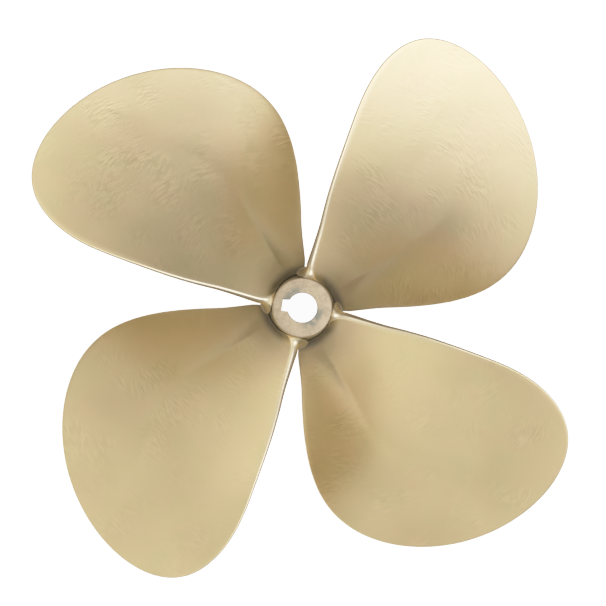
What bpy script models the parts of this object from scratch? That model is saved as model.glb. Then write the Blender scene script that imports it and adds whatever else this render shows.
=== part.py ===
"""Four-blade ship propeller, one bronze casting with its hub, bored and keyed for a tapered shaft.

Metres, +Z up. The shaft axis is Z and +Z points aft, so the blades' driving faces look up. The
origin is the centre of the hub's forward face, which the casting stands on. The keyway lies on -X.
Seen from aft the blades drive ahead when turned clockwise, so the helix is right-handed: a point
that goes round counter-clockwise climbs.
"""

import math

import bmesh
import bpy
from mathutils import Matrix, Vector

# Driving dimensions
TIP_RADIUS = 0.3555
BLADES = 4
FIRST_BLADE = math.radians(8.8)  # from +X to where the first blade's angles are measured from
HUB_LENGTH = 0.125
HUB_AFT_RADIUS = 0.0345
HUB_FORE_RADIUS = 0.042
HUB_CORNER = 0.0015
BORE_FORE_RADIUS = 0.0225
BORE_TAPER = 1 / 12  # of the diameter, along the length
KEYWAY_WIDTH = 0.014
KEYWAY_DEPTH = 0.0063  # square to the bore's wall

# Pitch, rake and the place of each blade along the shaft
TIP_PITCH = 0.66
ROOT_PITCH = 0.48
FULL_PITCH_FROM = 0.55  # as a share of the tip's radius, like each station below
RAKE = math.radians(4.0)
MIDDLE_Z = 0.065
MIDDLE_ANGLE = math.radians(37.5)

# Outline seen along the shaft: how far each edge lies from the skewed middle line
ROOT_STATION = 0.12
HALF_SPAN = math.radians(40.5)
SPAN_POWER = 2.6
SHOULDER_SWELL, SHOULDER_AT, SHOULDER_WIDTH = math.radians(1.9), 0.77, 0.19
ROOT_FLARE, ROOT_FLARE_FROM = math.radians(4.8), 0.30
STRAIGHT_MIDDLE, SKEW_POWER, SKEW_FROM = math.radians(39.0), 2.6, 0.41

# The blades were ground by hand and differ a little: the skew at the tip, and the tip's radius
SKEWS = (math.radians(16.5), math.radians(15.5), math.radians(15.5), math.radians(14.5))
TIP_ERRORS = (-0.002, 0.002, 0.001, -0.001)

# Thickness, measured square to the driving face
ROOT_THICKNESS, TIP_THICKNESS, THICKNESS_POWER = 0.026, 0.0026, 1.1
ROOT_EDGE, TIP_EDGE = 0.0054, 0.0024
FILLET = 0.012
FILLET_AT_EDGE = 0.45  # as a share of FILLET
FILLET_STARTS = 0.001  # off the hub, so that the fillet meets it at an angle

# Fineness of the mesh
ROUND_STEPS = 48
ROOT_ROWS = (0.027, 0.033, 0.036, 0.039, 0.042, 0.045, 0.049, 0.054, 0.060, 0.068, 0.078, 0.092)
OUTER_ROWS = 18
CHORD_STEPS = 10
EDGE_STEPS = 4
NUDGE = 1e-4  # the step that slopes are read with


def smooth_step(value, low, high):
    t = min(max((value - low) / (high - low), 0.0), 1.0)
    return t * t * (3.0 - 2.0 * t)


def lead(s):
    """How far the driving face climbs per radian at station s."""
    grown = smooth_step(s, ROOT_STATION, FULL_PITCH_FROM)
    return (ROOT_PITCH + (TIP_PITCH - ROOT_PITCH) * grown) / (2.0 * math.pi)


def face_point(s, angle):
    """The point of the driving face at station s and this angle."""
    radius = s * TIP_RADIUS
    along = MIDDLE_Z + (radius - HUB_AFT_RADIUS) * math.tan(RAKE)
    climb = lead(s) * (angle - MIDDLE_ANGLE)
    return Vector((radius * math.cos(angle), radius * math.sin(angle), along + climb))


def face_normal(s, angle):
    """The driving face's normal, pointing aft."""
    inner, outer = face_point(s - NUDGE, angle), face_point(s + NUDGE, angle)
    behind, ahead = face_point(s, angle - NUDGE), face_point(s, angle + NUDGE)
    return (outer - inner).cross(ahead - behind).normalized()


def from_root(s):
    """0 at the hub and 1 at the tip."""
    return min(max((s - ROOT_STATION) / (1.0 - ROOT_STATION), 0.0), 1.0)


def thickness(s):
    share = (1.0 - from_root(s)) ** THICKNESS_POWER
    return TIP_THICKNESS + (ROOT_THICKNESS - TIP_THICKNESS) * share


def edge_thickness(s):
    return TIP_EDGE + (ROOT_EDGE - TIP_EDGE) * (1.0 - from_root(s)) ** 2


def edges_seen(s, skew):
    """The angles of the leading and the trailing edge at station s."""
    rounding = math.sqrt(max(1.0 - s**SPAN_POWER, 0.0))
    swell = SHOULDER_SWELL * math.exp(-(((s - SHOULDER_AT) / SHOULDER_WIDTH) ** 2))
    flare = max(ROOT_FLARE_FROM - s, 0.0) / (ROOT_FLARE_FROM - 0.15)
    half = (HALF_SPAN + swell) * rounding + ROOT_FLARE * min(flare, 1.0) ** 2
    middle = STRAIGHT_MIDDLE + skew * (max(s - SKEW_FROM, 0.0) / (1.0 - SKEW_FROM)) ** SKEW_POWER
    return middle - half, middle + half


def face_edges(s, skew):
    """As edges_seen, less what the trailing edge's thickness adds to the outline seen from aft."""
    leading, trailing = edges_seen(s, skew)
    radius = s * TIP_RADIUS
    steepness = math.atan2(lead(s), radius)
    covered = edge_thickness(s) * math.sin(steepness) / radius
    narrow = smooth_step(trailing - leading, 0.0, 4.0 * covered)
    return leading, trailing - covered * narrow


def hub_radius(z):
    share = min(max(z / HUB_LENGTH, 0.0), 1.0)
    return HUB_FORE_RADIUS + (HUB_AFT_RADIUS - HUB_FORE_RADIUS) * share


def fillet_at(point):
    """How far the root fillet pushes the blade's skin out at this point."""
    off_hub = max(point.xy.length - hub_radius(point.z), FILLET_STARTS)
    if off_hub >= FILLET:
        return 0.0
    return FILLET - math.sqrt(FILLET**2 - (FILLET - off_hub) ** 2)


def fillet_share(u):
    """The share of the fillet across the chord, least at the two edges."""
    inward = smooth_step(min(u, 1.0 - u), 0.0, 0.25)
    return FILLET_AT_EDGE + (1.0 - FILLET_AT_EDGE) * inward


def stations():
    """The rows of the blade from inside the hub to the tip, closer together towards the tip."""
    rows = [radius / TIP_RADIUS for radius in ROOT_ROWS]
    first = math.asin(0.30 ** (SPAN_POWER / 2.0))
    for step in range(OUTER_ROWS):
        turn = first + (math.pi / 2.0 - first) * step / OUTER_ROWS
        rows.append(math.sin(turn) ** (2.0 / SPAN_POWER))
    return rows


def inward_at_edge(s, side, skew):
    """The direction square in from the leading (0) or the trailing (1) edge, in the driving face."""
    low, high = max(s - NUDGE, ROOT_STATION / 2.0), min(s + NUDGE, 1.0)
    outer, inner = face_edges(high, skew)[side], face_edges(low, skew)[side]
    along = face_point(high, outer) - face_point(low, inner)
    normal = face_normal(s, face_edges(s, skew)[side])
    inward = normal.cross(along).normalized()
    return -inward if side else inward


def row_points(s, skew):
    """The loop round the blade at station s: driving face, trailing edge, back, leading edge."""
    edge = edge_thickness(s)
    half_edge = edge / 2.0
    ends = []
    for side in (0, 1):
        angle = face_edges(s, skew)[side]
        point = face_point(s, angle) + inward_at_edge(s, side, skew) * half_edge
        ends.append((point.xy.length / TIP_RADIUS, math.atan2(point.y, point.x)))
    (s_lead, lead_angle), (s_trail, trail_angle) = ends
    skin = []
    for step in range(CHORD_STEPS + 1):
        u = step / CHORD_STEPS
        at, angle = s_lead + (s_trail - s_lead) * u, lead_angle + (trail_angle - lead_angle) * u
        skin.append((u, face_point(at, angle), face_normal(at, angle)))
    face, back = [], []
    for u, point, normal in skin:
        swell = fillet_at(point) * fillet_share(u)
        depth = edge + (thickness(s) - edge) * 4.0 * u * (1.0 - u)
        face.append(point + normal * swell)
        back.append(point - normal * (depth + swell))
    rims = []
    for side, (u, point, normal) in ((1, skin[-1]), (0, skin[0])):
        outward = -inward_at_edge(s, side, skew)
        reach = half_edge + fillet_at(point) * FILLET_AT_EDGE
        centre = point - normal * half_edge
        arc = []
        for step in range(1, EDGE_STEPS):
            turn = math.pi * step / EDGE_STEPS
            arc.append(centre + (normal * math.cos(turn) + outward * math.sin(turn)) * reach)
        rims.append(arc)
    return face + rims[0] + back[::-1] + rims[1][::-1]


def tip_points(count, skew):
    """The last loop, drawn together at the tip: its driving face, rim and back."""
    s = 1.0 - 1e-6
    angle = sum(face_edges(s, skew)) / 2.0
    half_edge = TIP_EDGE / 2.0
    normal = face_normal(s, angle)
    outward = Vector((math.cos(angle), math.sin(angle), math.tan(RAKE))).normalized()
    centre = face_point(s, angle) - outward * half_edge - normal * half_edge
    face = [centre + normal * half_edge] * (CHORD_STEPS + 1)
    back = [centre - normal * half_edge] * (CHORD_STEPS + 1)
    arc = []
    for step in range(1, EDGE_STEPS):
        turn = math.pi * step / EDGE_STEPS
        arc.append(centre + (normal * math.cos(turn) + outward * math.sin(turn)) * half_edge)
    loop = face + arc + back + arc[::-1]
    assert len(loop) == count
    return loop


def blade_mesh(name, skew, tip_error):
    """One blade as a closed loft through its rows."""
    loops = [row_points(s, skew) for s in stations()]
    loops.append(tip_points(len(loops[0]), skew))
    stretch = 1.0 + tip_error / TIP_RADIUS
    bm = bmesh.new()
    rings = [[bm.verts.new((x * stretch, y * stretch, z)) for x, y, z in loop] for loop in loops]
    count = len(rings[0])
    for inner, outer in zip(rings, rings[1:]):
        for i in range(count):
            j = (i + 1) % count
            bm.faces.new((inner[i], inner[j], outer[j], outer[i]))
    bm.faces.new(rings[0][::-1])
    bmesh.ops.remove_doubles(bm, verts=bm.verts, dist=1e-6)
    bmesh.ops.recalc_face_normals(bm, faces=bm.faces)
    mesh = bpy.data.meshes.new(name)
    bm.to_mesh(mesh)
    bm.free()
    return mesh


def turned(name, profile):
    """A solid turned from a profile of (radius, z) points that runs down from the axis to the axis."""
    mesh = bpy.data.meshes.new(name)
    points = [(radius, 0.0, z) for radius, z in profile]
    mesh.from_pydata(points, [(i, i + 1) for i in range(len(points) - 1)], [])
    piece = bpy.data.objects.new(name, mesh)
    screw = piece.modifiers.new("turn", "SCREW")
    screw.steps = screw.render_steps = ROUND_STEPS
    screw.use_merge_vertices = True
    screw.merge_threshold = 1e-6
    return piece


def hub():
    corner = HUB_CORNER
    profile = [
        (0.0, HUB_LENGTH),
        (HUB_AFT_RADIUS - corner, HUB_LENGTH),
        (HUB_AFT_RADIUS, HUB_LENGTH - corner),
        (HUB_FORE_RADIUS, corner),
        (HUB_FORE_RADIUS - corner, 0.0),
        (0.0, 0.0),
    ]
    return turned("propeller_casting", profile)


def bore_cutter():
    """The tapered bore, run past both faces of the hub."""
    past = 0.010
    fore = BORE_FORE_RADIUS + past * BORE_TAPER / 2.0
    aft = BORE_FORE_RADIUS - (HUB_LENGTH + past) * BORE_TAPER / 2.0
    profile = [(0.0, HUB_LENGTH + past), (aft, HUB_LENGTH + past), (fore, -past), (0.0, -past)]
    return turned("bore_cutter", profile)


def keyway_cutter():
    """The keyway on -X, its floor parallel to the bore's wall."""
    bm = bmesh.new()
    bmesh.ops.create_cube(bm, size=1.0)
    deep, long = BORE_FORE_RADIUS, HUB_LENGTH * 1.3
    bmesh.ops.scale(bm, vec=(deep, KEYWAY_WIDTH, long), verts=bm.verts)
    bmesh.ops.translate(bm, vec=(deep / 2.0 - KEYWAY_DEPTH, 0.0, 0.0), verts=bm.verts)
    lean = math.atan(BORE_TAPER / 2.0)
    middle_radius = BORE_FORE_RADIUS - HUB_LENGTH * BORE_TAPER / 4.0
    place = Matrix.Translation((-middle_radius, 0.0, HUB_LENGTH / 2.0)) @ Matrix.Rotation(lean, 4, "Y")
    bmesh.ops.transform(bm, matrix=place, verts=bm.verts)
    mesh = bpy.data.meshes.new("keyway_cutter")
    bm.to_mesh(mesh)
    bm.free()
    return bpy.data.objects.new("keyway_cutter", mesh)


def bronze():
    material = bpy.data.materials.new("ground_bronze")
    material.use_nodes = True
    shader = material.node_tree.nodes["Principled BSDF"]
    shader.inputs["Base Color"].default_value = (0.60, 0.48, 0.27, 1.0)
    shader.inputs["Metallic"].default_value = 1.0
    shader.inputs["Roughness"].default_value = 0.42
    return material


def add_boolean(piece, cutter, operation):
    step = piece.modifiers.new(cutter.name, "BOOLEAN")
    step.operation = operation
    step.solver = "EXACT"
    step.object = cutter


def main():
    for old in list(bpy.data.objects):
        bpy.data.objects.remove(old)
    parts = bpy.data.collections.new("ship_propeller")
    cutters = bpy.data.collections.new("cutters")
    for collection in (parts, cutters):
        bpy.context.scene.collection.children.link(collection)

    casting = hub()
    parts.objects.link(casting)
    operands = []
    for i in range(BLADES):
        name = f"blade_{i + 1}"
        blade = bpy.data.objects.new(name, blade_mesh(name, SKEWS[i], TIP_ERRORS[i]))
        blade.rotation_euler.z = FIRST_BLADE + i * 2.0 * math.pi / BLADES
        operands.append((blade, "UNION"))
    operands.append((bore_cutter(), "DIFFERENCE"))
    operands.append((keyway_cutter(), "DIFFERENCE"))
    for operand, operation in operands:
        cutters.objects.link(operand)
        operand.hide_render = True
        operand.display_type = "WIRE"
        add_boolean(casting, operand, operation)

    bpy.context.view_layer.update()
    solid = bpy.data.meshes.new_from_object(casting.evaluated_get(bpy.context.evaluated_depsgraph_get()))
    solid.name = "propeller_casting"
    solid.shade_smooth()
    solid.set_sharp_from_angle(angle=math.radians(35.0))
    solid.materials.clear()
    solid.materials.append(bronze())
    casting.modifiers.clear()
    casting.data = solid


main()
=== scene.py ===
"""A four-blade ship propeller in hand-ground bronze, seen from aft on a pale studio floor.

Metres, +Z aft along the shaft axis, the floor at Z 0, as in the solids. The casting is made in three
steps. Geometry nodes draw the four blades from the rule that a propeller is drawn with: a pitch, an
outline and a thickness at each radius. A turned hub is joined to them, bored and keyed. The finished
mesh then gets a bronze that shows how each surface was worked, with painted shade at the blades'
roots and along their edges, a painted highlight on the trailing edges near the root, and painted dark
reflections on the turned aft face.
"""

import math

import bmesh
import bpy
from mathutils import Matrix, Vector
from mathutils.kdtree import KDTree


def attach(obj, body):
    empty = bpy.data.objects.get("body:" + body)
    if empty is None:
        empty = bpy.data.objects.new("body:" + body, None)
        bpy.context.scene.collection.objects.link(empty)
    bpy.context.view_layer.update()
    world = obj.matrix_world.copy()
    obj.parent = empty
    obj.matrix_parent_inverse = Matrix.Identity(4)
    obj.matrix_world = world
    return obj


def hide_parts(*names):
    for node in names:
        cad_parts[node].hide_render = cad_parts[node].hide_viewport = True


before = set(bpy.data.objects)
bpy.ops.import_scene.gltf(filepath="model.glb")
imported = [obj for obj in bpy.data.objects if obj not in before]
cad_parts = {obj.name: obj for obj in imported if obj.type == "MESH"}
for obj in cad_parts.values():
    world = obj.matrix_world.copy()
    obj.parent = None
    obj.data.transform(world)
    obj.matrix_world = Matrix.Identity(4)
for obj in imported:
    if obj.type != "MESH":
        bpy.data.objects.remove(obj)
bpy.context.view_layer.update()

# Sizes of the casting
TIP_RADIUS = 0.3555
BLADES = 4
FIRST_BLADE = math.radians(8.8)
HUB_LENGTH = 0.125
HUB_AFT_RADIUS = 0.0345
HUB_FORE_RADIUS = 0.042
HUB_CORNER = 0.0015
BORE_FORE_RADIUS = 0.0225
BORE_TAPER = 1 / 12
BORE_CHAMFER = 0.0006
KEYWAY_WIDTH = 0.014
KEYWAY_DEPTH = 0.0063

# Pitch, rake and place along the shaft
TIP_PITCH = 0.66
ROOT_PITCH = 0.48
FULL_PITCH_FROM = 0.55
RAKE = math.radians(4.0)
MIDDLE_Z = 0.065
MIDDLE_ANGLE = math.radians(37.5)

# Outline seen along the shaft
ROOT_STATION = 0.12
HALF_SPAN = math.radians(40.5)
SPAN_POWER = 2.6
SHOULDER_SWELL, SHOULDER_AT, SHOULDER_WIDTH = math.radians(1.9), 0.77, 0.19
ROOT_FLARE, ROOT_FLARE_FROM, ROOT_FLARE_FULL = math.radians(4.8), 0.30, 0.15
STRAIGHT_MIDDLE, SKEW_POWER, SKEW_FROM = math.radians(39.0), 2.6, 0.41
SKEWS = (16.5, 15.5, 15.5, 14.5)
TIP_ERRORS = (-0.002, 0.002, 0.001, -0.001)

# Thickness and root fillet
ROOT_THICKNESS, TIP_THICKNESS, THICKNESS_POWER = 0.026, 0.0026, 1.1
ROOT_EDGE, TIP_EDGE = 0.0085, 0.0024
FILLET = 0.012
LEADING_FILLET, TRAILING_FILLET = 0.40, 0.85  # shares of it that the two edges get
FILLET_STARTS = 0.0003
FILLET_FADES_BY = 0.060  # off the hub, where the rows stop following its taper

# What the grinder left: waves, more of them near the root, and a hollow in the leading half of the
# driving face. The hollow starts at a place across the blade, from -1 to 1, that drifts towards the tip
WAVINESS, WAVE_LENGTH = 0.00035, 0.055
ROOT_WAVINESS, ROOT_WAVE_LENGTH = 0.00012, 0.022
HOLLOW_DEPTH, HOLLOW_START, HOLLOW_DRIFT = 0.0021, -0.22, 0.20
HOLLOW_PEAK = 4 / 27  # the most that t * (1 - t) ** 2 comes to
RIM_WIDTH = 0.0016
EDGE_WANDER, EDGE_WANDER_LENGTH = 0.00025, 0.012
SEED = 7

# The blades' mesh
COLUMNS, ROWS = 120, 132
EDGE_COLUMNS = 5
BURIED_UNTIL, FILLET_UNTIL = 0.03, 0.16  # shares of the rows
BURIED = 0.010

SEAM = 1e-7  # how close the seam's points lie
NOT_ZERO = 1e-9

# The hub's mesh
HUB_STEPS, CORNER_STEPS = 160, 4
HUB_SEAM = 1e-6
PAST_END = 0.010  # how far the bore's cutter reaches out of the hub
KEYWAY_CUT = 1.3  # the keyway's cutter in hub lengths
SAME_POINT = 1e-5
SHARP_FROM = math.radians(38.0)

# The bronze's colours, and how deep the tools cut
GOLD = (0.705, 0.560, 0.310)
PALE_GOLD = (0.780, 0.628, 0.355)
ROSE_GOLD = (0.765, 0.575, 0.335)
GREEN_GOLD = (0.700, 0.590, 0.315)
# Painted shade for the corner where the blades meet the hub
PAINTED_CORNER_SHADE = (0.22, 0.205, 0.160)
# Deeper painted shade down the hub's side near the blades' feet
PAINTED_DEEP_SHADE = (0.140, 0.128, 0.095)
# Painted highlight for the trailing edge's ridge near the root
RIDGE_HIGHLIGHT = (0.90, 0.78, 0.56)
# Painted shade for a thin dark line along the edges
RIM_SHADE = (0.24, 0.20, 0.145)
TURNED = (0.47, 0.38, 0.25)
TURNED_DARK = (0.38, 0.305, 0.195)
# Painted dark reflection on two opposite sides of the turned aft face, and the axis it lies on
PAINTED_DARK_REFLECTION = (0.22, 0.215, 0.165)
DARK_REFLECTION_AXIS = math.radians(146.0)
SATIN_ROUGHNESS, TURNED_ROUGHNESS = 0.38, 0.50
STROKE_DEPTH, STROKE_TINT = 0.00007, 0.05
PIT_DEPTH = 0.00006
RING_DEPTH, RING_SPACING = 0.000006, 0.0005
GRAIN_DEPTH, GRAIN_SIZE = 0.00002, 0.0016

# The studio. Each light in the tent is an azimuth and a height in degrees, how tight it is, its
# strength, and how much bluer than white it is. The camera's own curve rolls the highlights off
TENT_LIGHTS = (
    (180.0, 8.0, 7.0, 1.30, 0.0),
    (225.0, 8.0, 7.0, 1.06, 0.0),
    (270.0, 8.0, 7.0, 1.00, 0.0),
    (0.0, 8.0, 7.0, 1.15, 0.0),
    (45.0, 8.0, 7.0, 0.42, 0.0),
    (90.0, 8.0, 7.0, 0.30, 0.0),
    (135.0, 8.0, 7.0, 0.60, 0.0),
    (350.0, 62.0, 14.0, 2.70, 0.30),
    (90.0, 62.0, 12.0, 0.80, 0.0),
    (270.0, 62.0, 12.0, 0.45, 0.0),
    (170.0, 50.0, 7.0, 0.38, 0.0),
    (0.0, 90.0, 12.0, 1.30, 0.0),
)
TENT_WHITE = 1.6  # the tent's wall as the camera sees it
BLUE_TO_GREEN = 0.15  # a bluish light is also this share of that greener
FLOOR_GREY, FLOOR_GLOW = 0.68, 1.35
FLOOR_REACH, FLOOR_GAP = 10.0, 0.0005
FILM_CURVE = ((0.35, 0.35), (0.7, 0.67), (1.0, 0.84), (1.3, 0.94), (1.6, 1.0))

# The camera stands aft of the propeller, close to its axis
CAMERA_DISTANCE = 2.5
CAMERA_AIM = Vector((0.0, 0.0, 0.1))
CAMERA_OFF_AXIS = (0.00099, 0.00555)
CAMERA_ROLL, CAMERA_NOD, CAMERA_SWING = math.radians(-8.8), -0.00413, 0.00891
FOCAL_PIXELS = 2144.5
IMAGE_PIXELS = 606


def feed(tree, socket, value):
    """Links a field to a socket, or sets the socket to a number."""
    if isinstance(value, Field):
        tree.links.new(value.socket, socket)
    elif isinstance(value, bpy.types.NodeSocket):
        tree.links.new(value, socket)
    else:
        socket.default_value = value


class Field:
    """A number that nodes work out at each point, so that a rule reads as plain arithmetic."""

    def __init__(self, tree, socket):
        self.tree, self.socket = tree, socket

    def step(self, operation, *others):
        node = self.tree.nodes.new("ShaderNodeMath")
        node.operation = operation
        for slot, value in zip(node.inputs, (self, *others)):
            feed(self.tree, slot, value)
        return Field(self.tree, node.outputs[0])

    def __add__(self, other):
        return self.step("ADD", other)

    def __sub__(self, other):
        return self.step("SUBTRACT", other)

    def __mul__(self, other):
        return self.step("MULTIPLY", other)

    def __truediv__(self, other):
        return self.step("DIVIDE", other)

    def __pow__(self, other):
        return self.step("POWER", other)

    def __neg__(self):
        return self.step("MULTIPLY", -1.0)

    def __rsub__(self, other):
        return -self + other

    def __rtruediv__(self, other):
        return self.step("POWER", -1.0) * other

    __radd__, __rmul__ = __add__, __mul__

    def at_least(self, other):
        return self.step("MAXIMUM", other)

    def at_most(self, other):
        return self.step("MINIMUM", other)

    def root(self):
        return self.step("SQRT")

    def size(self):
        return self.step("ABSOLUTE")

    def sine(self):
        return self.step("SINE")

    def cosine(self):
        return self.step("COSINE")

    def share(self, low, high):
        """0 up to low, 1 from high on, straight between them."""
        return ((self - low) / (high - low)).at_least(0.0).at_most(1.0)

    def smooth(self, low, high):
        t = self.share(low, high)
        return t * t * (3.0 - 2.0 * t)


def vector_of(tree, x, y, z):
    node = tree.nodes.new("ShaderNodeCombineXYZ")
    for slot, value in zip(node.inputs, (x, y, z)):
        feed(tree, slot, value)
    return node.outputs[0]


def parts_of(tree, vector):
    node = tree.nodes.new("ShaderNodeSeparateXYZ")
    tree.links.new(vector, node.inputs[0])
    return [Field(tree, output) for output in node.outputs]


def vector_step(tree, operation, first, second=None, scale=None):
    node = tree.nodes.new("ShaderNodeVectorMath")
    node.operation = operation
    feed(tree, node.inputs[0], first)
    if second is not None:
        feed(tree, node.inputs[1], second)
    if scale is not None:
        feed(tree, node.inputs["Scale"], scale)
    output = "Value" if operation in ("LENGTH", "DISTANCE", "DOT_PRODUCT") else "Vector"
    return node.outputs[output]


def new_tree(name, kind, inputs=(), outputs=()):
    """A node group with named sockets. An input is (name, type, value)."""
    tree = bpy.data.node_groups.new(name, kind)
    for label, socket_type, value in inputs:
        item = tree.interface.new_socket(label, in_out="INPUT", socket_type="NodeSocket" + socket_type)
        if value is not None:
            item.default_value = value
    for label, socket_type in outputs:
        tree.interface.new_socket(label, in_out="OUTPUT", socket_type="NodeSocket" + socket_type)
    source = tree.nodes.new("NodeGroupInput")
    sink = tree.nodes.new("NodeGroupOutput")
    return tree, source.outputs, sink.inputs


def use_group(tree, group, kind, **values):
    """Places a node group. A value's name is its socket's, with _ for each space."""
    node = tree.nodes.new(kind)
    node.node_tree = group
    for name, value in values.items():
        feed(tree, node.inputs[name.replace("_", " ")], value)
    return node.outputs


def driving_face_group():
    """The helical driving face: where it is, and which way it points, at a radius and an angle."""
    numbers = ("Radius", "Angle", "Tip radius", "Root pitch", "Tip pitch", "Rake")
    tree, given, result = new_tree(
        "Driving face",
        "GeometryNodeTree",
        [(name, "Float", 0.0) for name in numbers],
        [("Point", "Vector"), ("Normal", "Vector"), ("Lead", "Float"), ("Height", "Float")],
    )
    radius, angle, tip, root_pitch, tip_pitch, rake = (Field(tree, given[name]) for name in numbers)
    station = radius / tip
    grown = station.share(ROOT_STATION, FULL_PITCH_FROM)
    per_radian = (tip_pitch - root_pitch) / (2.0 * math.pi)
    lead = root_pitch / (2.0 * math.pi) + per_radian * grown * grown * (3.0 - 2.0 * grown)
    lead_rate = per_radian * 6.0 * grown * (1.0 - grown) / ((FULL_PITCH_FROM - ROOT_STATION) * tip)
    beyond = angle - MIDDLE_ANGLE
    rise = rake.step("TANGENT")
    height = MIDDLE_Z + (radius - HUB_AFT_RADIUS) * rise + lead * beyond
    slope = rise + lead_rate * beyond
    cosine, sine = angle.cosine(), angle.sine()
    normal = vector_of(
        tree,
        sine * lead - slope * radius * cosine,
        -(cosine * lead) - slope * radius * sine,
        radius,
    )
    tree.links.new(vector_of(tree, radius * cosine, radius * sine, height), result["Point"])
    tree.links.new(vector_step(tree, "NORMALIZE", normal), result["Normal"])
    tree.links.new(lead.socket, result["Lead"])
    tree.links.new(height.socket, result["Height"])
    return tree


def pick_by_blade(tree, blade, values):
    """The value that belongs to a blade, by its number from 0."""
    node = tree.nodes.new("GeometryNodeIndexSwitch")
    node.data_type = "FLOAT"
    while len(node.index_switch_items) < len(values):
        node.index_switch_items.new()
    feed(tree, node.inputs["Index"], blade)
    for i, value in enumerate(values):
        feed(tree, node.inputs[str(i)], value)
    return Field(tree, node.outputs[0])


def store(tree, geometry, name, value):
    node = tree.nodes.new("GeometryNodeStoreNamedAttribute")
    node.data_type, node.domain = "FLOAT", "POINT"
    node.inputs["Name"].default_value = name
    tree.links.new(geometry, node.inputs["Geometry"])
    feed(tree, node.inputs["Value"], value)
    return node.outputs["Geometry"]


def stored(tree, name):
    node = tree.nodes.new("GeometryNodeInputNamedAttribute")
    node.data_type = "FLOAT"
    node.inputs["Name"].default_value = name
    return Field(tree, node.outputs["Attribute"])


def hub_radius_at(height):
    along = (height / HUB_LENGTH).at_least(0.0).at_most(1.0)
    return HUB_FORE_RADIUS + (HUB_AFT_RADIUS - HUB_FORE_RADIUS) * along


def waviness(tree, place, length, seed):
    """Soft noise from -1 to 1, with waves of a given length in metres."""
    node = tree.nodes.new("ShaderNodeTexNoise")
    node.noise_dimensions = "4D"
    tree.links.new(place, node.inputs["Vector"])
    feed(tree, node.inputs["W"], seed)
    node.inputs["Scale"].default_value = 1.0 / length
    node.inputs["Detail"].default_value = 1.0
    return (Field(tree, node.outputs[0]) - 0.5) * 2.0


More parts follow.
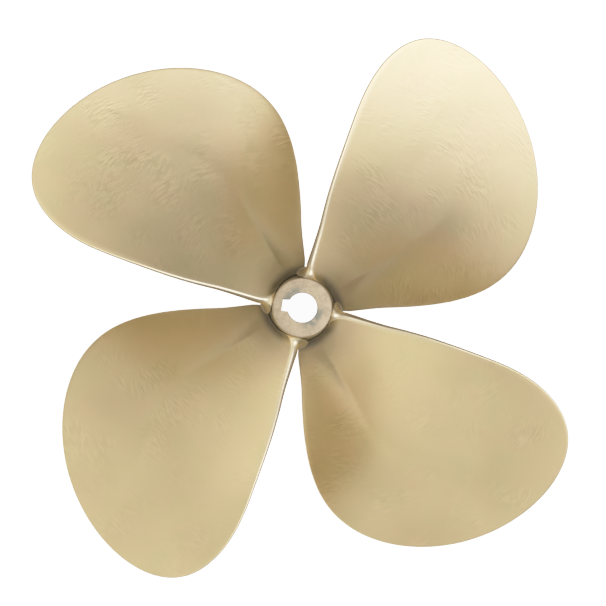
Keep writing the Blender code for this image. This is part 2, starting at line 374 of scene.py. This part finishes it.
def blades_tree(face):
    """All the blades: closed tubes of rows and columns, moved onto the propeller's rule."""
    sizes = [
        ("Blades", "Int", BLADES),
        ("Columns", "Int", COLUMNS),
        ("Rows", "Int", ROWS),
        ("Tip radius", "Float", TIP_RADIUS),
        ("Root pitch", "Float", ROOT_PITCH),
        ("Tip pitch", "Float", TIP_PITCH),
        ("Rake", "Float", RAKE),
        ("Root thickness", "Float", ROOT_THICKNESS),
        ("Tip thickness", "Float", TIP_THICKNESS),
        ("Fillet", "Float", FILLET),
        ("Waviness", "Float", WAVINESS),
        ("Root waviness", "Float", ROOT_WAVINESS),
        ("Hollow", "Float", HOLLOW_DEPTH),
        ("Edge wander", "Float", EDGE_WANDER),
        ("Seed", "Int", SEED),
        ("Bronze", "Material", None),
    ]
    sizes += [(f"Skew {i + 1}", "Float", math.radians(skew)) for i, skew in enumerate(SKEWS)]
    sizes += [(f"Tip error {i + 1}", "Float", error) for i, error in enumerate(TIP_ERRORS)]
    tree, given, result = new_tree("Blades", "GeometryNodeTree", sizes, [("Geometry", "Geometry")])
    tip, thick, thin, fillet = (
        Field(tree, given[name]) for name in ("Tip radius", "Root thickness", "Tip thickness", "Fillet")
    )

    tube = tree.nodes.new("GeometryNodeMeshCone")
    tube.fill_type = "NGON"
    for name, value in (("Vertices", given["Columns"]), ("Side Segments", given["Rows"])):
        feed(tree, tube.inputs[name], value)
    for name, value in (("Radius Top", 0.0), ("Radius Bottom", 1.0), ("Depth", 1.0)):
        tube.inputs[name].default_value = value
    place = tree.nodes.new("GeometryNodeInputPosition").outputs[0]
    x, y, z = parts_of(tree, place)
    turn = y.step("ARCTAN2", x) / (2.0 * math.pi)
    geometry = store(tree, tube.outputs["Mesh"], "row", z)
    geometry = store(tree, geometry, "column", (turn + 1.0).step("FRACT"))

    to_instance = tree.nodes.new("GeometryNodeGeometryToInstance")
    tree.links.new(geometry, to_instance.inputs[0])
    copies = tree.nodes.new("GeometryNodeDuplicateElements")
    copies.domain = "INSTANCE"
    tree.links.new(to_instance.outputs[0], copies.inputs["Geometry"])
    feed(tree, copies.inputs["Amount"], given["Blades"])
    number = tree.nodes.new("GeometryNodeStoreNamedAttribute")
    number.data_type, number.domain = "FLOAT", "INSTANCE"
    number.inputs["Name"].default_value = "blade"
    tree.links.new(copies.outputs["Geometry"], number.inputs["Geometry"])
    tree.links.new(copies.outputs["Duplicate Index"], number.inputs["Value"])
    real = tree.nodes.new("GeometryNodeRealizeInstances")
    tree.links.new(number.outputs["Geometry"], real.inputs["Geometry"])

    row, column, blade = (stored(tree, name) for name in ("row", "column", "blade"))
    skew = pick_by_blade(tree, blade, [given[f"Skew {i + 1}"] for i in range(BLADES)])
    tip_error = pick_by_blade(tree, blade, [given[f"Tip error {i + 1}"] for i in range(BLADES)])

    # The row's radius: buried in the hub, then up the root fillet, then closer and closer to the tip
    hub_middle = (HUB_FORE_RADIUS + HUB_AFT_RADIUS) / 2.0
    buried = 1.0 - row.share(0.0, BURIED_UNTIL)
    up_fillet = 1.0 - (row.share(BURIED_UNTIL, FILLET_UNTIL) * (math.pi / 2.0)).cosine()
    outward = 1.0 - (1.0 - row.share(FILLET_UNTIL, 1.0)) ** 2.0
    off_hub = fillet * up_fillet + (tip - hub_middle - fillet) * outward - BURIED * buried
    row_radius = off_hub + hub_middle
    station = (row_radius / tip).at_most(1.0)

    # The outline there
    fullness = (1.0 - station**SPAN_POWER).at_least(NOT_ZERO)
    beside_shoulder = (station - SHOULDER_AT) / SHOULDER_WIDTH
    swell = SHOULDER_SWELL * (-(beside_shoulder * beside_shoulder)).step("EXPONENT")
    flare = 1.0 - station.share(ROOT_FLARE_FULL, ROOT_FLARE_FROM)
    half = (HALF_SPAN + swell) * fullness.root() + ROOT_FLARE * flare * flare
    skewed = station.share(SKEW_FROM, 1.0)
    middle = STRAIGHT_MIDDLE + skew * skewed**SKEW_POWER
    middle_rate = skew * (SKEW_POWER / (1.0 - SKEW_FROM)) * skewed ** (SKEW_POWER - 1.0)

    # Thickness there, and how much of the trailing edge's thickness shows from aft
    to_tip = 1.0 - ((station - ROOT_STATION) / (1.0 - ROOT_STATION)).at_least(0.0)
    full_depth = thin + (thick - thin) * to_tip.at_least(NOT_ZERO) ** THICKNESS_POWER
    edge = TIP_EDGE + (ROOT_EDGE - TIP_EDGE) * to_tip * to_tip
    sizes_given = {
        name.replace(" ", "_"): given[name] for name in ("Tip radius", "Root pitch", "Tip pitch", "Rake")
    }

    def face_at(radius, angle):
        return use_group(tree, face, "GeometryNodeGroup", Radius=radius, Angle=angle, **sizes_given)

    lead = Field(tree, face_at(row_radius, MIDDLE_ANGLE)["Lead"])
    across = (row_radius * row_radius + lead * lead).root()
    covered = edge * lead / across / row_radius
    seen = covered * (2.0 * half).smooth(0.0, 4.0 * covered)
    fillet_rest = fillet - off_hub.at_least(FILLET_STARTS).at_most(fillet)
    fillet_swell = (fillet - (fillet * fillet - fillet_rest * fillet_rest).root()) * (1.0 - buried)
    centre = middle - 0.5 * seen

    # The column's place across the row: -1 at the leading edge and 1 at the trailing edge
    along = 1.0 - (1.0 - 2.0 * column).size()
    trailing_side = along.step("GREATER_THAN", 0.5) * 2.0 - 1.0
    from_edge = 1.0 - (2.0 * along - 1.0).size()
    edge_share = 4.0 * EDGE_COLUMNS / COLUMNS
    wander = tree.nodes.new("ShaderNodeTexNoise")
    wander.noise_dimensions = "4D"
    tree.links.new(vector_of(tree, row_radius, trailing_side, blade), wander.inputs["Vector"])
    feed(tree, wander.inputs["W"], given["Seed"])
    wander.inputs["Scale"].default_value = 1.0 / EDGE_WANDER_LENGTH
    wandering = (Field(tree, wander.outputs[0]) - 0.5) * 2.0 * Field(tree, given["Edge wander"])
    away = station.smooth(0.2, 0.35) * (1.0 - station.smooth(0.97, 1.0))
    edge_fillet = LEADING_FILLET + (TRAILING_FILLET - LEADING_FILLET) * (trailing_side * 0.5 + 0.5)
    reach = fillet_swell * edge_fillet + wandering * away
    half_row = (half - 0.5 * seen + reach / across).at_least(1e-6)
    edge_round = edge * 0.5 + fillet_swell * edge_fillet

    def steepness(place_across):
        """How fast the outline's rule falls per metre of the face, 1 - station**power - place**2."""
        along_row = 2.0 * fullness * place_across / (half_row * across)
        outwards = 2.0 * fullness * place_across * middle_rate / half_row
        outwards = (outwards - SPAN_POWER * station ** (SPAN_POWER - 1.0)) / tip
        return (along_row * along_row + outwards * outwards).root()

    edge_part = (edge_round * steepness(trailing_side) / fullness).at_most(0.4)
    rounding = 1.0 - (from_edge.share(0.0, edge_share) * (math.pi / 2.0)).cosine()
    inner = 1.0 - from_edge.share(edge_share, 1.0)
    place_across = trailing_side * (1.0 - edge_part * rounding).root() * inner
    angle = centre + half_row * place_across
    into_blade = fullness * (1.0 - place_across * place_across) / steepness(place_across)

    # The rows near the hub follow its taper
    follow = 1.0 - off_hub.smooth(FILLET, FILLET_FADES_BY)
    first_height = Field(tree, face_at(row_radius, angle)["Height"])
    radius = row_radius + follow * (hub_radius_at(first_height) - hub_middle)
    at = face_at(radius, angle)

    lens = 1.0 - place_across * place_across
    depth = edge + (full_depth - edge) * lens
    inwards = ((1.0 - place_across.size()) * 0.5).smooth(0.0, 0.25)
    pushed = fillet_swell * (edge_fillet + (1.0 - edge_fillet) * inwards)
    rest = edge_round - into_blade.at_most(edge_round).at_least(0.0)
    drop = edge_round - (edge_round * edge_round - rest * rest).at_least(0.0).root()
    on_face = 1.0 - column.step("GREATER_THAN", 0.5)
    offset = on_face * (pushed - drop) + (1.0 - on_face) * (drop - depth - pushed)

    # Uneven hand grinding, most of all near the root, where the leading half is also hollowed a little
    own_place = vector_step(tree, "ADD", at["Point"], vector_of(tree, blade, on_face, 0.0))
    waves = waviness(tree, own_place, WAVE_LENGTH, given["Seed"]) * Field(tree, given["Waviness"])
    ripples = waviness(tree, own_place, ROOT_WAVE_LENGTH, given["Seed"])
    ripples = ripples * Field(tree, given["Root waviness"]) * (1.0 - station.smooth(0.25, 0.55))
    offset = offset + (waves + ripples) * off_hub.smooth(0.0, 0.03) * lens
    start = HOLLOW_START + HOLLOW_DRIFT * station.smooth(0.50, 0.75)
    into = ((start - place_across) / (start + 1.0)).at_least(0.0).at_most(1.0)
    hollow = into * (1.0 - into) * (1.0 - into) / HOLLOW_PEAK * Field(tree, given["Hollow"])
    hollow = hollow * off_hub.smooth(0.0, 0.02) * (1.0 - station.smooth(0.40, 0.75))
    offset = offset - hollow * on_face

    # Marks for the bronze: painted shade as a thin dark line along each edge's rim, and a painted
    # highlight along the trailing edge's ridge near the root
    rim_width = edge_round.at_most(RIM_WIDTH) * (0.9 - 0.5 * on_face)
    rim_shade = (1.0 - into_blade.smooth(0.3 * rim_width, rim_width)) * off_hub.smooth(0.004, 0.02)
    ridge_highlight = (1.0 - into_blade.smooth(0.7 * edge_round, 1.3 * edge_round)) * (trailing_side * 0.5 + 0.5)
    ridge_highlight = ridge_highlight * (1.0 - 0.8 * station.smooth(0.35, 0.85)) * on_face

    moved = vector_step(tree, "SCALE", at["Normal"], scale=offset)
    point = vector_step(tree, "ADD", at["Point"], moved)
    stretch = 1.0 + tip_error / tip
    point = vector_step(tree, "MULTIPLY", point, vector_of(tree, stretch, stretch, 1.0))
    spin = tree.nodes.new("ShaderNodeVectorRotate")
    spin.rotation_type = "Z_AXIS"
    tree.links.new(point, spin.inputs["Vector"])
    feed(tree, spin.inputs["Angle"], blade * (2.0 * math.pi / BLADES) + FIRST_BLADE)
    marked = store(tree, real.outputs["Geometry"], "rim_shade", rim_shade)
    marked = store(tree, marked, "ridge_highlight", ridge_highlight)
    put = tree.nodes.new("GeometryNodeSetPosition")
    tree.links.new(marked, put.inputs["Geometry"])
    tree.links.new(spin.outputs["Vector"], put.inputs["Position"])

    merge = tree.nodes.new("GeometryNodeMergeByDistance")
    merge.inputs["Distance"].default_value = SEAM
    tree.links.new(put.outputs["Geometry"], merge.inputs["Geometry"])
    paint = tree.nodes.new("GeometryNodeSetMaterial")
    tree.links.new(merge.outputs["Geometry"], paint.inputs["Geometry"])
    tree.links.new(given["Bronze"], paint.inputs["Material"])
    tree.links.new(paint.outputs["Geometry"], result["Geometry"])
    return tree


def evaluated_mesh(piece, name):
    """The piece's mesh with its modifiers worked in."""
    bpy.context.view_layer.update()
    mesh = bpy.data.meshes.new_from_object(piece.evaluated_get(bpy.context.evaluated_depsgraph_get()))
    mesh.name = name
    return mesh


def linked(name, mesh):
    piece = bpy.data.objects.new(name, mesh)
    bpy.context.scene.collection.objects.link(piece)
    return piece


def outward(mesh):
    """Turns a closed mesh's faces so that they point out."""
    bm = bmesh.new()
    bm.from_mesh(mesh)
    bmesh.ops.recalc_face_normals(bm, faces=bm.faces)
    bm.to_mesh(mesh)
    bm.free()


def ground_blades(bronze):
    piece = linked("blades", bpy.data.meshes.new("blades"))
    rule = piece.modifiers.new("rule", "NODES")
    rule.node_group = blades_tree(driving_face_group())
    for item in rule.node_group.interface.items_tree:
        if item.name == "Bronze":
            rule[item.identifier] = bronze
    piece.data = evaluated_mesh(piece, "blades")
    piece.modifiers.clear()
    outward(piece.data)
    return piece


def turned(name, profile):
    """A solid turned from a profile of (radius, z) points that runs down from the axis to the axis."""
    mesh = bpy.data.meshes.new(name)
    points = [(radius, 0.0, z) for radius, z in profile]
    mesh.from_pydata(points, [(i, i + 1) for i in range(len(points) - 1)], [])
    piece = linked(name, mesh)
    screw = piece.modifiers.new("turn", "SCREW")
    screw.steps = screw.render_steps = HUB_STEPS
    screw.use_merge_vertices = True
    screw.merge_threshold = HUB_SEAM
    return piece


def hub():
    """The tapered barrel, with its two corners rounded off."""
    profile = [(0.0, HUB_LENGTH)]
    for centre_z, radius, start in (
        (HUB_LENGTH - HUB_CORNER, HUB_AFT_RADIUS, math.pi / 2.0),
        (HUB_CORNER, HUB_FORE_RADIUS, 0.0),
    ):
        for step in range(CORNER_STEPS + 1):
            turn = start - math.pi / 2.0 * step / CORNER_STEPS
            across = radius - HUB_CORNER + HUB_CORNER * math.cos(turn)
            profile.append((across, centre_z + HUB_CORNER * math.sin(turn)))
    profile.append((0.0, 0.0))
    return turned("casting", profile)


def bore_cutter():
    """The tapered bore with a small chamfer at both mouths."""
    fore, aft = BORE_FORE_RADIUS, BORE_FORE_RADIUS - HUB_LENGTH * BORE_TAPER / 2.0
    profile = [
        (0.0, HUB_LENGTH + PAST_END),
        (aft + BORE_CHAMFER + PAST_END, HUB_LENGTH + PAST_END),
        (aft, HUB_LENGTH - BORE_CHAMFER),
        (fore, BORE_CHAMFER),
        (fore + BORE_CHAMFER + PAST_END, -PAST_END),
        (0.0, -PAST_END),
    ]
    return turned("bore", profile)


def keyway_cutter():
    """The keyway on -X, its floor parallel to the bore's wall."""
    bm = bmesh.new()
    bmesh.ops.create_cube(bm, size=1.0)
    deep, long = BORE_FORE_RADIUS, HUB_LENGTH * KEYWAY_CUT
    bmesh.ops.scale(bm, vec=(deep, KEYWAY_WIDTH, long), verts=bm.verts)
    bmesh.ops.translate(bm, vec=(deep / 2.0 - KEYWAY_DEPTH, 0.0, 0.0), verts=bm.verts)
    lean = math.atan(BORE_TAPER / 2.0)
    middle_radius = BORE_FORE_RADIUS - HUB_LENGTH * BORE_TAPER / 4.0
    place = Matrix.Translation((-middle_radius, 0.0, HUB_LENGTH / 2.0)) @ Matrix.Rotation(lean, 4, "Y")
    bmesh.ops.transform(bm, matrix=place, verts=bm.verts)
    mesh = bpy.data.meshes.new("keyway")
    bm.to_mesh(mesh)
    bm.free()
    return linked("keyway", mesh)


def carry_marks(blades, mesh):
    """Gives each point of the joined mesh the marks of the blade's point that lies there, if any."""
    points = KDTree(len(blades.vertices))
    for point in blades.vertices:
        points.insert(point.co, point.index)
    points.balance()
    nearest = [points.find(point.co) for point in mesh.vertices]
    for name in ("rim_shade", "ridge_highlight"):
        marks = [item.value for item in blades.attributes[name].data]
        mesh.attributes.remove(mesh.attributes[name])
        carried = mesh.attributes.new(name, "FLOAT", "POINT")
        for (_, index, distance), item in zip(nearest, carried.data):
            item.value = marks[index] if distance < SAME_POINT else 0.0


def casting(bronze):
    """Hub and blades as one piece of metal, bored and keyed."""
    piece = hub()
    blades = ground_blades(bronze)
    for operand, operation in (
        (blades, "UNION"),
        (bore_cutter(), "DIFFERENCE"),
        (keyway_cutter(), "DIFFERENCE"),
    ):
        step = piece.modifiers.new(operand.name, "BOOLEAN")
        step.operation, step.solver, step.object = operation, "EXACT", operand
    mesh = evaluated_mesh(piece, "ground_casting")
    for name in ("row", "column", "blade"):
        mesh.attributes.remove(mesh.attributes[name])
    carry_marks(blades.data, mesh)
    for step in piece.modifiers:
        if step.type == "BOOLEAN":
            bpy.data.objects.remove(step.object)
    bpy.data.objects.remove(piece)
    mesh.materials.clear()
    mesh.materials.append(bronze)
    mesh.shade_smooth()
    mesh.set_sharp_from_angle(angle=SHARP_FROM)
    return linked("ground_casting", mesh)


def mix_colour(tree, share, first, second):
    node = tree.nodes.new("ShaderNodeMix")
    node.data_type = "RGBA"
    feed(tree, node.inputs["Factor"], share)
    for slot, colour in ((node.inputs["A"], first), (node.inputs["B"], second)):
        feed(tree, slot, colour if isinstance(colour, bpy.types.NodeSocket) else (*colour, 1.0))
    return node.outputs["Result"]


def cloud(tree, place, size, detail=2.0, seed=0.0):
    """Soft noise from 0 to 1 with clouds of a given size in metres."""
    node = tree.nodes.new("ShaderNodeTexNoise")
    node.noise_dimensions = "4D"
    feed(tree, node.inputs["Vector"], place)
    node.inputs["W"].default_value = seed
    node.inputs["Scale"].default_value = 1.0 / size
    node.inputs["Detail"].default_value = detail
    return Field(tree, node.outputs[0])


def marked_by(tree, name):
    """What the blades' rule stored at each point under a name."""
    node = tree.nodes.new("ShaderNodeAttribute")
    node.attribute_name = name
    return Field(tree, node.outputs["Fac"])


def grinding_group():
    """Arcs that a hand-held disc grinder leaves, patch by patch, along the blade's sections."""
    sizes = (
        ("Vector", "Vector", None),
        ("Patch", "Float", 0.050),
        ("Disc", "Float", 0.20),
        ("Spacing", "Float", 0.0028),
        ("Stroke", "Float", 0.011),
        ("Swing", "Float", 0.35),
        ("Shift", "Float", 0.0),
    )
    tree, given, result = new_tree("Grinding", "ShaderNodeTree", sizes, [("Height", "Float")])
    patch, disc, spacing, stroke, swing, shift = (
        Field(tree, given[name]) for name in ("Patch", "Disc", "Spacing", "Stroke", "Swing", "Shift")
    )
    shifted = vector_of(tree, shift, shift * 0.7, shift * 1.3)
    moved = vector_step(tree, "ADD", given["Vector"], shifted)
    cells = tree.nodes.new("ShaderNodeTexVoronoi")
    feed(tree, cells.inputs["Vector"], moved)
    feed(tree, cells.inputs["Scale"], 1.0 / patch)
    centre = vector_step(tree, "SUBTRACT", cells.outputs["Position"], shifted)
    luck = parts_of(tree, cells.outputs["Color"])
    x, y, _ = parts_of(tree, centre)
    radial = vector_step(tree, "NORMALIZE", vector_of(tree, x, y, 0.0))
    turn = tree.nodes.new("ShaderNodeVectorRotate")
    turn.rotation_type = "Z_AXIS"
    feed(tree, turn.inputs["Vector"], radial)
    feed(tree, turn.inputs["Angle"], (luck[0] - 0.5) * 2.0 * swing)
    pivot = vector_step(tree, "SUBTRACT", centre, vector_step(tree, "SCALE", turn.outputs[0], scale=disc))
    reach = Field(tree, vector_step(tree, "DISTANCE", given["Vector"], pivot))
    from_centre = vector_step(tree, "SUBTRACT", given["Vector"], centre)
    sideways = vector_step(tree, "CROSS_PRODUCT", vector_of(tree, 0.0, 0.0, 1.0), turn.outputs[0])
    along = Field(tree, vector_step(tree, "DOT_PRODUCT", from_centre, sideways))
    marks = tree.nodes.new("ShaderNodeTexNoise")
    marks.noise_dimensions = "3D"
    mark_place = vector_of(tree, reach / spacing, along / stroke, luck[2] * 50.0)
    tree.links.new(mark_place, marks.inputs["Vector"])
    marks.inputs["Scale"].default_value = 1.0
    marks.inputs["Detail"].default_value = 0.0
    fade = 1.0 - Field(tree, cells.outputs["Distance"]).smooth(0.30, 0.65)
    stroke_height = Field(tree, marks.outputs[0]).smooth(0.36, 0.64) - 0.5
    tree.links.new((stroke_height * fade).socket, result["Height"])
    return tree


def ground_bronze():
    """Bronze as the grinder and the lathe left it, satin blades and dull turned faces, with painted shade
    in the corners and along the edges, a painted highlight on the trailing edges' ridges and painted dark
    reflections on the turned aft face.
    """
    material = bpy.data.materials.new("ground_bronze")
    material.use_nodes = True
    tree = material.node_tree
    shader = tree.nodes["Principled BSDF"]
    place = tree.nodes.new("ShaderNodeTexCoord").outputs["Object"]
    x, y, z = parts_of(tree, place)
    radius = (x * x + y * y).root()
    off_hub = radius - hub_radius_at(z)

    # Where the lathe worked: both ends and the bore. Everything else was ground by hand
    aft = z.share(HUB_LENGTH - 0.0012, HUB_LENGTH - 0.0004) * (1.0 - radius.share(0.0350, 0.0360))
    fore = (1.0 - z.share(0.0004, 0.0012)) * (1.0 - radius.share(0.0425, 0.0435))
    bored = 1.0 - radius.share(BORE_FORE_RADIUS + 0.0004, BORE_FORE_RADIUS + 0.0008)
    turned_part = aft.at_least(fore).at_least(bored)
    ground_part = 1.0 - turned_part

    grinding = grinding_group()
    coarse = use_group(tree, grinding, "ShaderNodeGroup", Vector=place)
    second = use_group(tree, grinding, "ShaderNodeGroup", Vector=place, Patch=0.037, Disc=0.14, Shift=0.37)
    pressed = cloud(tree, place, 0.045, 1.0, 21.0).smooth(0.35, 0.65)
    strokes = (Field(tree, coarse["Height"]) + Field(tree, second["Height"])) * (0.15 + 0.75 * pressed)

    # Colour
    broad = cloud(tree, place, 0.090, 1.5, 3.0)
    hue = cloud(tree, place, 0.035, 1.0, 11.0)
    body = mix_colour(tree, broad.smooth(0.3, 0.7), GOLD, PALE_GOLD)
    body = mix_colour(tree, hue.smooth(0.35, 0.75) * 0.5, body, ROSE_GOLD)
    body = mix_colour(tree, (1.0 - hue.smooth(0.25, 0.6)) * 0.5, body, GREEN_GOLD)
    at_rim_shade, at_ridge_highlight = marked_by(tree, "rim_shade"), marked_by(tree, "ridge_highlight")
    # Painted shade, in patches, darker towards the corner where the blades meet the hub and held off the
    # trailing edge's painted highlight. The same mask also makes that corner rougher and pitted
    under_rim = 1.0 - z.smooth(HUB_LENGTH - 0.004, HUB_LENGTH - 0.001)
    corner = (1.0 - off_hub.smooth(0.000, 0.012)) * under_rim * ground_part
    corner_shade_and_pits = corner * (0.6 + 0.4 * cloud(tree, place, 0.020, 1.0, 5.0).smooth(0.35, 0.65))
    corner_shade_and_pits = corner_shade_and_pits * (1.0 - 0.9 * at_ridge_highlight)
    # Deeper painted shade down the hub's side and the blades' feet, below the aft face
    deep = (1.0 - off_hub.smooth(0.003, 0.014)) * (1.0 - z.smooth(0.085, 0.118)) * z.smooth(0.004, 0.015)
    deep = deep * ground_part
    body = mix_colour(tree, corner_shade_and_pits * 0.85, body, PAINTED_CORNER_SHADE)
    body = mix_colour(tree, deep * (1.0 - at_ridge_highlight) * 0.75, body, PAINTED_DEEP_SHADE)
    # Painted highlight on the trailing edge's ridge near the root
    body = mix_colour(tree, at_ridge_highlight * 0.6, body, RIDGE_HIGHLIGHT)
    # Painted shade: a thin dark line along every edge's rim, which is also a little rougher
    body = mix_colour(tree, at_rim_shade * 0.8, body, RIM_SHADE)

    # The turned faces: dull and beige, with a painted dark reflection, grey-green and patchy, on two
    # opposite sides of the bore
    axis = tree.nodes.new("ShaderNodeVectorRotate")
    axis.rotation_type = "Z_AXIS"
    feed(tree, axis.inputs["Vector"], place)
    axis.inputs["Angle"].default_value = -DARK_REFLECTION_AXIS
    across, _, _ = parts_of(tree, axis.outputs[0])
    beside_bore = 1.0 - radius.smooth(0.020, 0.029)
    painted_reflection = (across / radius.at_least(0.001)).size().smooth(0.55, 0.95) * beside_bore
    painted_reflection = painted_reflection * cloud(tree, place, 0.006, 2.0, 8.0).smooth(0.25, 0.55) * aft
    mottle = cloud(tree, place, 0.010, 1.0, 2.0) * 0.5 + cloud(tree, place, 0.0022, 1.0, 4.0) * 0.5
    turned_colour = mix_colour(tree, mottle.smooth(0.38, 0.66), TURNED, TURNED_DARK)
    turned_colour = mix_colour(tree, painted_reflection * 0.9, turned_colour, PAINTED_DARK_REFLECTION)
    body = mix_colour(tree, turned_part, body, turned_colour)
    body = vector_step(tree, "SCALE", body, scale=1.0 + strokes * STROKE_TINT * ground_part)
    tree.links.new(body, shader.inputs["Base Color"])

    # Gloss
    dull = SATIN_ROUGHNESS + (broad - 0.5) * 0.10 + strokes * 0.05 + corner_shade_and_pits * 0.20 + at_rim_shade * 0.08
    feed(tree, shader.inputs["Roughness"], dull + (TURNED_ROUGHNESS - dull) * turned_part)
    shader.inputs["Metallic"].default_value = 1.0

    # Relief
    ring = tree.nodes.new("ShaderNodeTexNoise")
    ring.noise_dimensions = "2D"
    feed(tree, ring.inputs["Vector"], vector_of(tree, radius / RING_SPACING, z / RING_SPACING, 0.0))
    ring.inputs["Scale"].default_value = 1.0
    rings = Field(tree, ring.outputs[0]) - 0.5
    grain = cloud(tree, place, GRAIN_SIZE, 1.0, 1.0) - 0.5
    relief = (strokes * STROKE_DEPTH + grain * corner_shade_and_pits * PIT_DEPTH) * ground_part
    relief = relief + (rings * RING_DEPTH + grain * GRAIN_DEPTH) * turned_part
    bump = tree.nodes.new("ShaderNodeBump")
    bump.inputs["Distance"].default_value = 1.0
    feed(tree, bump.inputs["Height"], relief)
    tree.links.new(bump.outputs[0], shader.inputs["Normal"])
    return material


def pale_floor():
    """A white table that the camera sees evenly lit, and that throws little light back up."""
    material = bpy.data.materials.new("pale_floor")
    material.use_nodes = True
    nodes, links = material.node_tree.nodes, material.node_tree.links
    shader, result = nodes["Principled BSDF"], nodes["Material Output"]
    shader.inputs["Base Color"].default_value = (FLOOR_GREY, FLOOR_GREY, FLOOR_GREY, 1.0)
    shader.inputs["Roughness"].default_value = 0.9
    shader.inputs["Specular IOR Level"].default_value = 0.1
    glow = nodes.new("ShaderNodeEmission")
    glow.inputs["Color"].default_value = (1.0, 1.0, 1.0, 1.0)
    glow.inputs["Strength"].default_value = FLOOR_GLOW
    both = nodes.new("ShaderNodeAddShader")
    pick = nodes.new("ShaderNodeMixShader")
    path = nodes.new("ShaderNodeLightPath")
    links.new(shader.outputs[0], both.inputs[0])
    links.new(glow.outputs[0], both.inputs[1])
    links.new(path.outputs["Is Camera Ray"], pick.inputs["Fac"])
    links.new(shader.outputs[0], pick.inputs[1])
    links.new(both.outputs[0], pick.inputs[2])
    links.new(pick.outputs[0], result.inputs["Surface"])
    bm = bmesh.new()
    bmesh.ops.create_grid(bm, x_segments=1, y_segments=1, size=FLOOR_REACH)
    bmesh.ops.translate(bm, vec=(0.0, 0.0, -FLOOR_GAP), verts=bm.verts)
    mesh = bpy.data.meshes.new("studio_floor")
    bm.to_mesh(mesh)
    bm.free()
    mesh.materials.append(material)
    linked("studio_floor", mesh)


def light_tent():
    """White lights behind a white tent, so that a satin surface finds soft shapes to reflect."""
    world = bpy.data.worlds.new("light_tent")
    bpy.context.scene.world = world
    world.use_nodes = True
    tree = world.node_tree
    background = tree.nodes["Background"]
    way = tree.nodes.new("ShaderNodeTexCoord").outputs["Generated"]
    total = vector_of(tree, 0.0, 0.0, 0.0)
    for azimuth, height, tightness, strength, blue in TENT_LIGHTS:
        azimuth, height = math.radians(azimuth), math.radians(height)
        level = math.cos(height)
        towards = vector_of(tree, level * math.cos(azimuth), level * math.sin(azimuth), math.sin(height))
        beam = Field(tree, vector_step(tree, "DOT_PRODUCT", way, towards)) - 1.0
        beam = (beam * tightness).step("EXPONENT") * strength
        colour = vector_of(tree, 1.0, 1.0 + BLUE_TO_GREEN * blue, 1.0 + blue)
        total = vector_step(tree, "ADD", total, vector_step(tree, "SCALE", colour, scale=beam))
    path = tree.nodes.new("ShaderNodeLightPath")
    seen = Field(tree, path.outputs["Is Camera Ray"])
    tree.links.new(mix_colour(tree, seen, total, (TENT_WHITE,) * 3), background.inputs["Color"])
    background.inputs["Strength"].default_value = 1.0


def film():
    """Rolls the highlights off softly, as film does, instead of clipping them."""
    view = bpy.context.scene.view_settings
    view.view_transform = "Standard"
    view.use_curve_mapping = True
    view.curve_mapping.clip_max_x = FILM_CURVE[-1][0]
    curve = view.curve_mapping.curves[3]
    curve.points[1].location = FILM_CURVE[-1]
    for point in FILM_CURVE[:-1]:
        curve.points.new(*point)
    view.curve_mapping.update()


def camera():
    data = bpy.data.cameras.new("camera")
    data.sensor_width = 36.0
    data.lens = FOCAL_PIXELS * data.sensor_width / IMAGE_PIXELS
    piece = bpy.data.objects.new("camera", data)
    bpy.context.scene.collection.objects.link(piece)
    seen = Matrix.Rotation(CAMERA_SWING, 3, "Y") @ Matrix.Rotation(CAMERA_NOD, 3, "X")
    seen = seen @ Matrix.Rotation(CAMERA_ROLL, 3, "Z")
    stand = CAMERA_AIM + seen.transposed() @ Vector((*CAMERA_OFF_AXIS, CAMERA_DISTANCE))
    piece.matrix_world = Matrix.Translation(stand) @ seen.transposed().to_4x4()
    bpy.context.scene.camera = piece


camera()
bronze = ground_bronze()
propeller = casting(bronze)
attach(propeller, "root")
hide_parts("propeller_casting")
pale_floor()
light_tent()
film()
